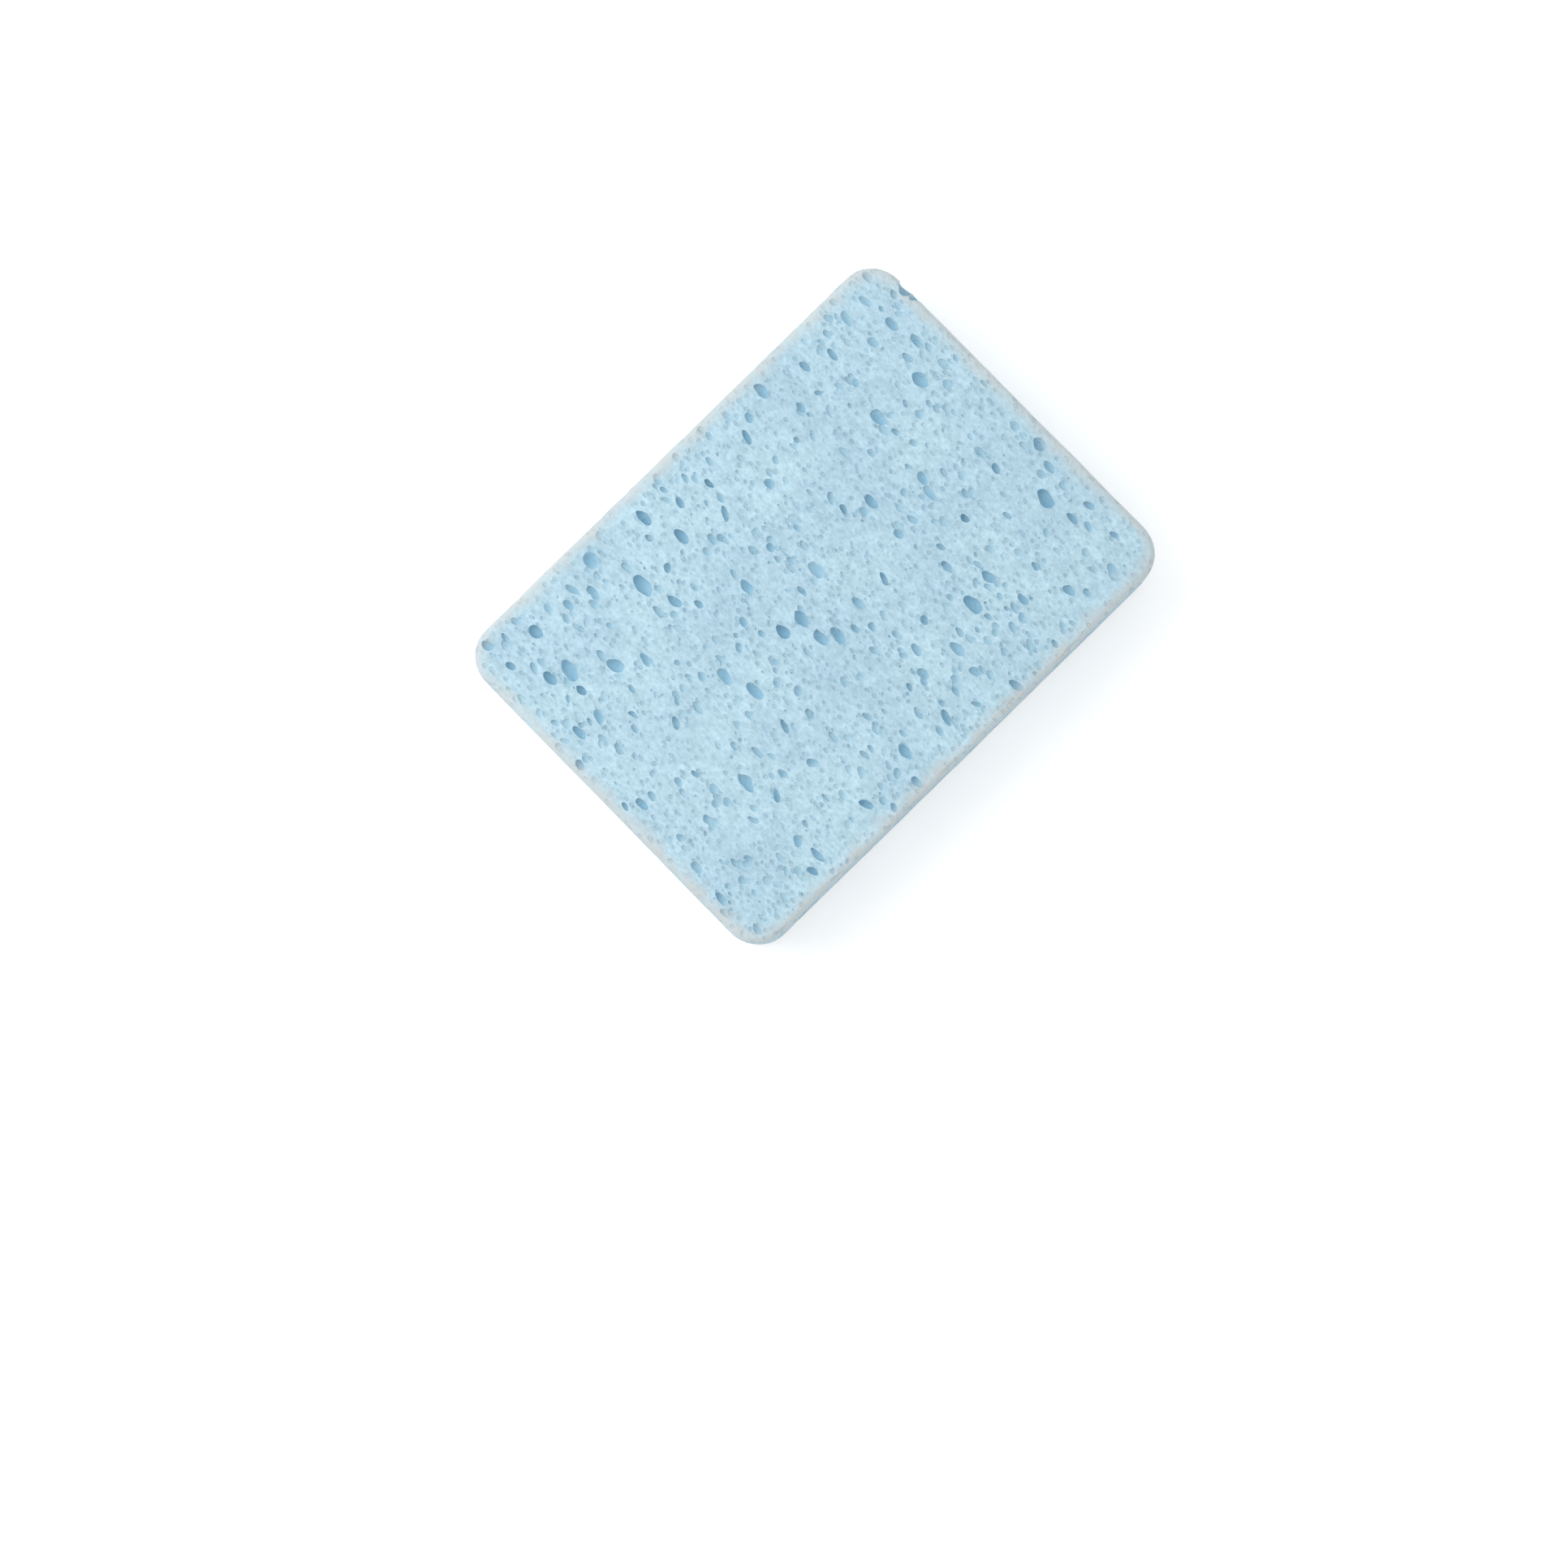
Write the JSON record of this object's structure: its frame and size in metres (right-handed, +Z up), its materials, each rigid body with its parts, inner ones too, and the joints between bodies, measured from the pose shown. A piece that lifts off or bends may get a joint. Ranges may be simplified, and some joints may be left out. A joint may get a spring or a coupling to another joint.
{
  "type": "cleaning sponge",
  "caption": "Rectangular cellulose cleaning sponge with rounded corners and open pores on every face.",
  "frame": {"origin": "middle of the flat base that the sponge lies on", "axes": "+X along the length, +Y across the width, +Z up through the thickness"},
  "size_m": [0.14, 0.103, 0.026],
  "materials": {
    "sponge": "matt, open-pored cellulose"
  },
  "bodies": {
    "root": {"sponge": "sponge"}
  },
  "joints": []
}
